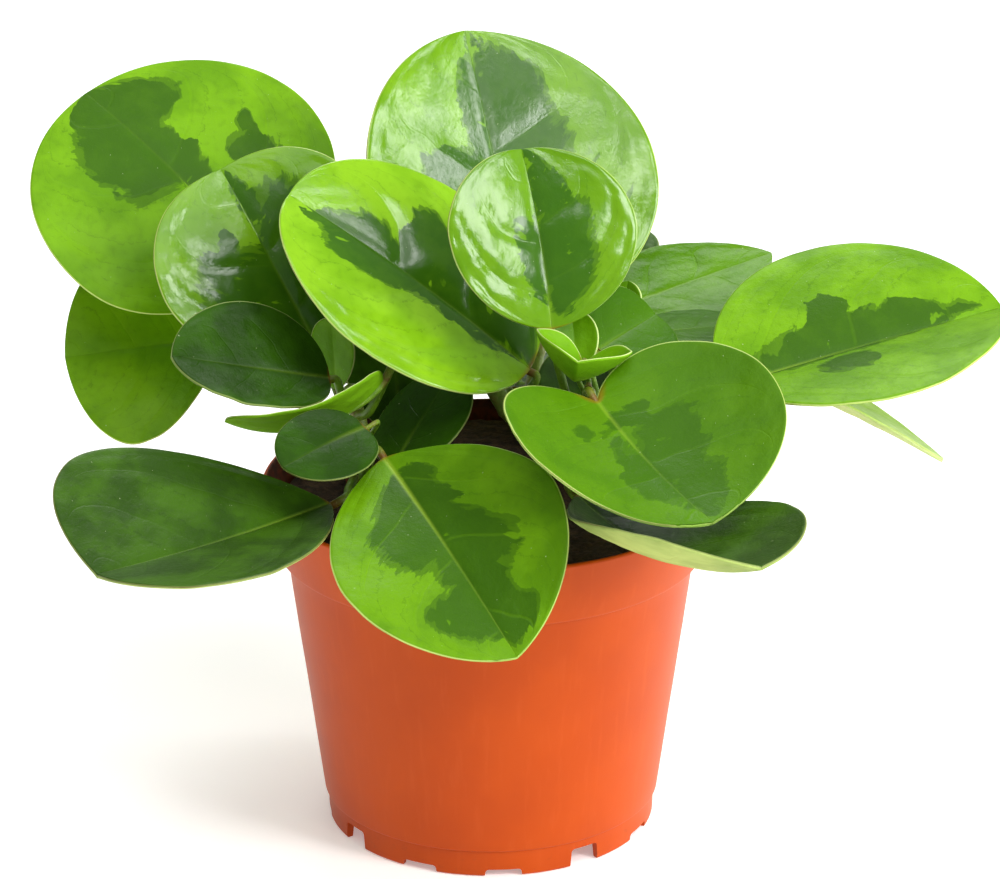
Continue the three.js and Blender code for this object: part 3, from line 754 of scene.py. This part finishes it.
def blade_place(leaf, u, v):
    """A point of the same surface as the tree's, in the pot's millimetres, for the stalk's end."""
    along = (1 - math.cos(math.pi * u)) / 2
    skew = math.log(0.5) / math.log(math.acos(1 - 2 * leaf["Belly"]) / math.pi)
    width = leaf["Width"] / 2 * math.sin(math.pi * u ** skew)
    side_reach = v * v * math.sin(math.pi * u)
    reach = along + side_reach * (leaf["Tip"] * along - leaf["Lobe"] * (1 - along))
    fold, bend = math.radians(leaf["Fold"]), math.radians(leaf["Bend"])
    turn = math.radians(leaf["Cup"]) / (leaf["Width"] / 2)
    angle = fold + turn * abs(v) * width
    side = math.copysign(1, v) * (math.sin(angle) - math.sin(fold)) / turn
    lift = (math.cos(fold) - math.cos(angle)) / turn
    arc = bend * reach
    local = Vector((leaf["Length"] * math.sin(arc) / bend + lift * math.sin(arc),
                    side + leaf["Sway"] * reach ** 2,
                    lift * math.cos(arc) - leaf["Length"] * (1 - math.cos(arc)) / bend))
    return Euler(leaf["Turn"]).to_matrix() @ local + Vector(leaf["Place"])


def stalk_path(leaf):
    """From inside the shoot out to the blade's base and on under its midrib, with its thickness."""
    path, low, high = shoots[leaf["shoot"]]
    line = even_line(path, 401)
    k = round(leaf["share"] * 400)
    node = Vector(line[k])
    heading = Vector(line[min(k + 1, 400)] - line[k - 1]).normalized()
    away = Vector(leaf["Place"]) - node
    away = (away - heading * away.dot(heading)).normalized()

    def under(along, depth=0.45):
        u = math.acos(1 - 2 * along) / math.pi
        near = min(max(u, 0.06), 0.94)
        a = blade_place(leaf, near + 0.01, 0.0) - blade_place(leaf, near - 0.01, 0.0)
        b = blade_place(leaf, near, 0.01) - blade_place(leaf, near, -0.01)
        return blade_place(leaf, u, 0.0) - a.cross(b).normalized() * depth * BLADE_THICKNESS

    base = Vector(leaf["Place"])
    inward = (base - under(0.12)).normalized()
    radius = low + (high - low) * leaf["share"]
    gap, rooted, straight = 0.3, 2.2, 4
    start = node + away * (radius + gap)
    span = (base - start).length
    line = smooth_line([start - away * rooted, start, start + away * min(straight, span / 4),
                        base + inward * min(straight, 0.24 * span), under(0.01), under(0.14, 0.5),
                        under(0.3, 0.42)], 44)
    thick = 1.5 if leaf["Length"] >= YOUNG_LENGTH else 0.9
    mesh = line_mesh("stalk path", line)
    thickness = mesh.attributes.new("thick", "FLOAT", "POINT")
    run = mesh.attributes.new("run", "FLOAT", "POINT")
    for k in range(len(line)):
        t = k / (len(line) - 1)
        flare = 1.25 - 0.35 * min(1, t * 5)
        taper = 1 - 0.35 * t
        fading = 1 - max(0, (t - 0.75) * 3) ** 1.5
        thickness.data[k].value, run.data[k].value = thick * flare * taper * fading, t
    return mesh


# each blade: its base; heading, pitch and roll; length and width; belly, fold, cup and bend; what
# else differs from a plain one; the shoot, how far up it the stalk stands off; and the finish
# a leaf's Depth is partly its own darker green and partly painted shade, highest on leaves in
# shadow
leaves = {
    "leaf_left_top": ((-61, 57, 131), (152, 44, -27), (71, 90), (0.48, 2, -4, 18),
        {"Lobe": 0.06, "Sway": 2}, "stem_left_back", 0.96, "variegated"),
    "leaf_left_shaded": ((-73, 58, 112), (184, -6, -44), (43, 58), (0.57, 8, -10, 3),
        {"Lobe": -0.08, "Tip": -0.04}, "stem_left_back", 0.76, "yellow green"),
    "leaf_left_glossy": ((-45, 25, 119), (151, 59, -41), (56, 62), (0.54, 10, -3, 12),
        {"Tip": 0.06, "Pillow": 0.6, "Depth": 0.35}, "stem_left", 0.9, "glossy"),
    "leaf_left_young": ((-40.5, 17, 112.5), (130, 86, -73), (20, 14), (0.55, 8, -10, -3),
        {"Lobe": -0.06}, "stem_left", 0.97, "young green"),
    "leaf_left_oval": ((-42, 5, 120), (200, 15, -33), (44, 36), (0.5, 15, 9, -1),
        {"Pillow": 0.12}, "stem_left", 0.93, "deep green"),
    "leaf_left_edge_on": ((-28, -5, 123.5), (218, -41, 43), (45, 24), (0.47, 17, 2, -76),
        {"Lobe": 0.15, "Tip": -0.06}, "stem_left", 0.84, "young green"),
    "leaf_front_left": ((-41, -25, 97), (220, -3, -10), (72, 74), (0.57, 19, 3, -5),
        {"Lobe": -0.16, "Tip": 0.11, "Sway": -2, "Rib tone": 0.3}, "stem_left", 0.52, "dark green"),
    "leaf_front": ((-27, -26, 110), (296, -14, 22), (73, 63), (0.56, 11, 15, 22),
        {"Lobe": -0.1, "Tip": -0.1, "Rib tone": 0.7, "Depth": 0.25},
        "stem_left", 0.6, "variegated"),
    "leaf_front_small": ((-32, -25, 118), (225, 0, -24), (27, 24), (0.49, 5, -11, 18),
        {"Lobe": 0.08}, "stem_left", 0.76, "deep green"),
    "leaf_inner_dark": ((-25, 1, 97), (56, 39, -8), (32, 28), (0.51, 5, -12, 9),
        {"Lobe": 0.05, "Depth": 0.5}, "stem_left", 0.5, "deep green"),
    "leaf_middle_wide": ((10, 14, 119), (175, 41, -29), (78, 65), (0.45, 14, -18, 13),
        {"Lobe": -0.05, "Tip": 0.03, "Pillow": 0.75}, "stem_middle", 0.74, "glossy"),
    "leaf_top": ((9, 48, 123), (112, 61, 7), (79, 89), (0.51, 10, 6, 7),
        {"Lobe": 0.07, "Tip": -0.07, "Pillow": 0.3, "Depth": 0.38}, "stem_middle", 0.97, "glossy"),
    "leaf_middle_upright": ((15.6, -1, 136), (109, 74, 3), (47, 52.5), (0.48, 15, -15, 11),
        {"Lobe": -0.08, "Tip": 0.03, "Sway": 2.3, "Pillow": 0.45, "Depth": 0.52},
        "stem_right", 0.77, "glossy"),
    "bud_front": ((23.9, -5, 127.9), (254, -20, -9.5), (25, 32.7), (0.575, 22.5, 33, -87),
        {"Lobe": 0.64, "Tip": 0.12, "Sway": 1.5, "Depth": 0.08}, "stem_right", 0.99, "young green"),
    "bud_inner": ((22.2, 1.0, 123.8), (100, 66, 4), (16, 13.5), (0.54, 6, 38, 8),
        {"Depth": 0.4}, "stem_right", 0.93, "young green"),
    "bud_side": ((35, 35, 126), (70, 59, -1), (10, 10), (0.5, 14, -2, -3),
        {"Tip": -0.05, "Depth": 0.6}, "stem_back", 0.96, "young green"),
    "leaf_right_young": ((28, 10, 126), (48, 11, 35), (25, 27), (0.54, 12, 0, 12),
        {"Tip": 0.04, "Depth": 1.0}, "stem_right", 0.88, "yellow green"),
    "leaf_right_heart": ((27, -25, 125), (309, -31, 3), (48, 84), (0.61, 5, 31, -15),
        {"Lobe": 0.51, "Tip": -0.11, "Sway": 1, "Rib tone": 0.25, "Depth": 0.7},
        "stem_right", 0.82, "variegated"),
    "leaf_right_far": ((60, -3, 120), (17, 12, 12), (79, 75), (0.51, 24, -21, 4),
        {"Tip": -0.06, "Rib tone": 0.4}, "stem_right", 0.65, "variegated"),
    "leaf_right_hanging": ((64, 21, 119), (2, -22, -11), (63, 45), (0.51, 1, 12, 10),
        {"Tip": -0.04}, "stem_right", 0.58, "pale green"),
    "leaf_right_low": ((22, -34, 103), (308, -20, -10), (69, 66), (0.53, 12, 21, -44),
        {"Lobe": -0.2, "Tip": 0.08, "Sway": -1}, "stem_right", 0.48, "dark green"),
    "leaf_right_back": ((36, 57, 121), (32, 8, 16), (49, 34), (0.45, 2, 6, 2),
        {"Lobe": 0.06, "Tip": -0.15, "Depth": 0.5}, "stem_back", 0.9, "glossy green"),
    "leaf_right_inner": ((38, 28, 123), (25, 0, 3), (38, 24), (0.52, 4, -3, 8),
        {"Depth": 0.95}, "stem_right", 0.71, "yellow green"),
    "leaf_inner_left": ((-24, 26, 97), (100, 62, -4), (34, 27), (0.52, 6, 0, 8),
        {}, "stem_left_back", 0.52, "dark green"),
    "leaf_inner_right": ((24, 20, 102), (82, 40, 4), (24, 26), (0.52, 6, 0, 8),
        {}, "stem_back", 0.56, "dark green"),
    "leaf_back_left": ((-31, 58, 104), (106, 2, 4), (46, 44), (0.52, 6, 0, 8),
        {}, "stem_left_back", 0.6, "variegated"),
    "leaf_back_upper": ((-20, 52, 122), (116, 40, 0), (38, 34), (0.52, 6, 0, 8),
        {}, "stem_left_back", 0.86, "yellow green"),
    "leaf_back_middle": ((4, 56, 114), (90, 34, 4), (54, 54), (0.52, 6, 0, 8),
        {}, "stem_back", 0.7, "variegated"),
    "leaf_back_low": ((5, 52, 99), (92, -6, 2), (50, 46), (0.52, 6, 0, 8),
        {}, "stem_back", 0.5, "dark green"),
    "leaf_back_right": ((33, 50, 106), (62, -6, -4), (54, 50), (0.52, 6, 0, 8),
        {}, "stem_back", 0.62, "variegated"),
    "leaf_back_tilted": ((27, 76, 116), (72, 22, -6), (34, 30), (0.52, 6, 0, 8),
        {}, "stem_back", 0.8, "dark green"),
}
# the areas that a dark middle is made of: place along and across the blade, reach both ways
dark_middles = {
    "leaf_left_top": [
        (0.72, 0.12, 0.3, 0.36), (0.86, -0.2, 0.18, 0.42), (0.6, -0.1, 0.26, 0.16),
        (0.4, -0.48, 0.13, 0.2), (0.54, -0.6, 0.06, 0.07), (0.95, 0.05, 0.12, 0.4)],
    "leaf_left_glossy": [
        (0.25, 0.2, 0.36, 0.6), (0.38, -0.35, 0.42, 0.5), (0.84, -0.08, 0.15, 0.12),
        (0.67, 0.28, 0.06, 0.1)],
    "leaf_front": [
        (0.34, -0.12, 0.27, 0.5), (0.6, 0.12, 0.3, 0.4), (0.78, -0.22, 0.12, 0.38),
        (0.16, 0.2, 0.08, 0.28), (0.87, 0.2, 0.1, 0.4)],
    "leaf_middle_wide": [
        (0.7, 0.05, 0.24, 0.3), (0.54, -0.35, 0.08, 0.34), (0.46, 0.0, 0.2, 0.22),
        (0.25, -0.35, 0.3, 0.45), (0.25, 0.08, 0.12, 0.1)],
    "leaf_top": [
        (0.7, -0.22, 0.32, 0.3), (0.3, -0.3, 0.4, 0.45), (0.45, 0.3, 0.16, 0.36),
        (0.7, 0.08, 0.25, 0.14)],
    "leaf_middle_upright": [
        (0.58, -0.25, 0.42, 0.32), (0.3, -0.25, 0.25, 0.4), (0.4, 0.12, 0.26, 0.18)],
    "leaf_right_heart": [
        (0.17, 0.2, 0.06, 0.3), (0.45, 0.2, 0.19, 0.34), (0.78, 0.16, 0.2, 0.24),
        (0.57, -0.12, 0.32, 0.17), (0.24, -0.38, 0.05, 0.08)],
    "leaf_right_far": [
        (0.4, 0.1, 0.38, 0.2), (0.45, 0.36, 0.08, 0.16), (0.66, 0.15, 0.24, 0.2),
        (0.42, -0.3, 0.1, 0.16), (0.84, 0.12, 0.1, 0.1)],
    "leaf_back_left": [(0.55, 0.1, 0.4, 0.45), (0.3, -0.2, 0.2, 0.3)],
    "leaf_back_middle": [(0.5, 0.15, 0.42, 0.35), (0.7, -0.2, 0.2, 0.35)],
    "leaf_back_right": [(0.45, -0.15, 0.4, 0.4), (0.6, 0.25, 0.2, 0.25)],
}
pale_edge = srgb(186, 208, 112)
leaf_finishes = {
    "variegated": leaf_finish(
        "variegated leaf", srgb(114, 166, 14), srgb(94, 144, 6), srgb(56, 97, 8),
        srgb(160, 188, 96), pale_edge, patched=True),
    "glossy": leaf_finish(
        "glossy variegated leaf", srgb(128, 178, 26), srgb(108, 158, 12), srgb(50, 92, 10),
        srgb(160, 188, 96), pale_edge, patched=True, shine=0.36, dull=0.01, grain_depth=0.00007),
    "yellow green": leaf_finish(
        "yellow green leaf", srgb(112, 160, 6), srgb(90, 138, 2), srgb(52, 92, 3),
        srgb(156, 184, 92), pale_edge),
    "glossy green": leaf_finish(
        "glossy green leaf", srgb(108, 158, 8), srgb(86, 134, 3), srgb(52, 92, 3),
        srgb(156, 184, 92), pale_edge, shine=0.12, dull=0.1),
    "young green": leaf_finish(
        "young leaf", srgb(114, 168, 8), srgb(94, 146, 4), srgb(56, 98, 2),
        srgb(108, 158, 16), srgb(200, 218, 140)),
    "dark green": leaf_finish(
        "dark green leaf", srgb(60, 98, 12), srgb(40, 71, 5), srgb(27, 52, 2),
        srgb(172, 190, 104), srgb(120, 132, 70), shine=0.14, dull=0.24),
    "deep green": leaf_finish(
        "deep green leaf", srgb(46, 84, 6), srgb(32, 62, 3), srgb(22, 46, 1),
        srgb(150, 176, 84), srgb(128, 146, 78), shine=0.08, dull=0.2),
    "pale green": leaf_finish(
        "pale green leaf", srgb(162, 188, 100), srgb(136, 168, 74), srgb(96, 140, 50),
        srgb(186, 208, 132), pale_edge),
}
stalk_skin = stalk_finish()
leaf_grower = leaf_tree(blade_surface_group())
plain = {"Lobe": 0, "Tip": 0, "Sway": 0, "Pillow": 0.3, "Rib tone": 0.15, "Depth": 0.0}
grown = {"Thickness": BLADE_THICKNESS, "Ripple": 1.8, "Rows": 84, "Columns": 56}
young = {"Thickness": 1.1, "Ripple": 0.5, "Rows": 48, "Columns": 36}
unused_area = (-9, 0, 0.1, 0.1)
first_seed, young_pillow, nearly_flat = 3, 0.4, 0.01
for number, (node, row) in enumerate(leaves.items()):
    at, (heading, pitch, roll), size, curves, differs, shoot_name, share, finish = row
    leaf = {**plain, **dict(zip(BLADE_SHAPE, (*size, *curves))), **differs, "Place": at,
            "Turn": tuple(math.radians(a) for a in (roll, -pitch, heading)),
            "shoot": shoot_name, "share": share}
    leaf["Cup"], leaf["Bend"] = leaf["Cup"] or nearly_flat, leaf["Bend"] or nearly_flat
    is_grown = leaf["Length"] >= YOUNG_LENGTH
    if not is_grown:
        leaf["Pillow"] *= young_pillow
    dark = {}
    areas = dark_middles.get(node, []) + [unused_area] * DARK_AREAS
    for k, (along, across, long, wide) in enumerate(areas[:DARK_AREAS]):
        dark[f"Dark {k} at"], dark[f"Dark {k} size"] = (along, across, 0.0), (long, wide, 1.0)
    piece = grow("grown_" + node, stalk_path(leaf), leaf_grower, {
        **{name: float(leaf[name]) for name in BLADE_SHAPE + BLADE_SKIN}, **dark,
        **(grown if is_grown else young), "Turn": leaf["Turn"],
        "Place": tuple(float(c) for c in at), "Seed": number + first_seed,
        "Blade finish": leaf_finishes[finish], "Stalk finish": stalk_skin})
    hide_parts(node)
    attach(piece, "root")

# ---- the studio ----------------------------------------------
# A plain pale floor, a white surround, soft lights mostly from the right and from above, each a
# glowing disc, and a long lens that looks down on the plant by about twenty degrees.


def soft_light(name, toward, distance, size, power):
    """A glowing disc that looks at the middle of the plant from that direction."""
    lamp = put(name + " softbox", bpy.data.lights.new(name, "AREA"))
    lamp.data.shape, lamp.data.size, lamp.data.energy = "DISK", size, power
    middle = Vector((0.0, 0.0, 0.11))
    lamp.location = middle + Vector(toward).normalized() * distance
    lamp.rotation_euler = (lamp.location - middle).to_track_quat("Z", "Y").to_euler()


half, just_below = 3, -0.0002
floor_mesh = bpy.data.meshes.new("floor")
floor_mesh.from_pydata([(x, y, just_below) for x, y in (
    (-half, -half), (half, -half), (half, half), (-half, half))], [], [(0, 1, 2, 3)])
floor = put("floor", floor_mesh)
floor_paint, floor_tree, floor_shader, floor_spot = new_finish("pale floor")
coat(floor_tree, floor_shader, mixed(
    floor_tree, noise(floor_tree, floor_spot, 3.0), srgb(246, 246, 245), srgb(250, 250, 249)), 0.8)
floor_shader.inputs["Emission Color"].default_value = (1.0, 1.0, 1.0, 1.0)
floor_shader.inputs["Emission Strength"].default_value = 0.3
floor_mesh.materials.append(floor_paint)

surround = bpy.data.worlds.new("white surround")
surround.use_nodes = True
glow = surround.node_tree.nodes["Background"]
glow.inputs["Color"].default_value = (1.0, 1.0, 1.0, 1.0)
glow.inputs["Strength"].default_value = 0.29
bpy.context.scene.world = surround
# direction from the plant, distance and diameter in metres, and watts
soft_light("key", (0.77, -0.48, 0.41), 2.2, 0.85, 27.0)
soft_light("high", (0.38, -0.64, 0.67), 2.2, 0.38, 5.0)
soft_light("left leaf", (0.59, -0.49, 0.64), 2.2, 0.4, 8.0)
soft_light("steep", (0.47, -0.27, 0.84), 2.2, 0.4, 4.5)
soft_light("side", (0.88, 0.1, 0.47), 2.2, 0.35, 4.5)
soft_light("low side", (0.98, 0.17, 0.1), 2.2, 0.8, 19.0)
soft_light("top", (0.05, -0.4, 0.92), 2.5, 2.4, 33.0)
soft_light("back", (0.06, 0.66, 0.75), 2.2, 1.2, 18.0)

camera = put("camera", bpy.data.cameras.new("camera"))
camera.data.lens, camera.data.sensor_width = 165.9, 36.0
camera.location = (-0.00256, -1.12235, 0.54778)
looking_down = 21.65
camera.rotation_euler = (math.radians(90 - looking_down), 0.0, 0.0)
bpy.context.scene.camera = camera
bpy.context.scene.view_settings.view_transform = "Standard"
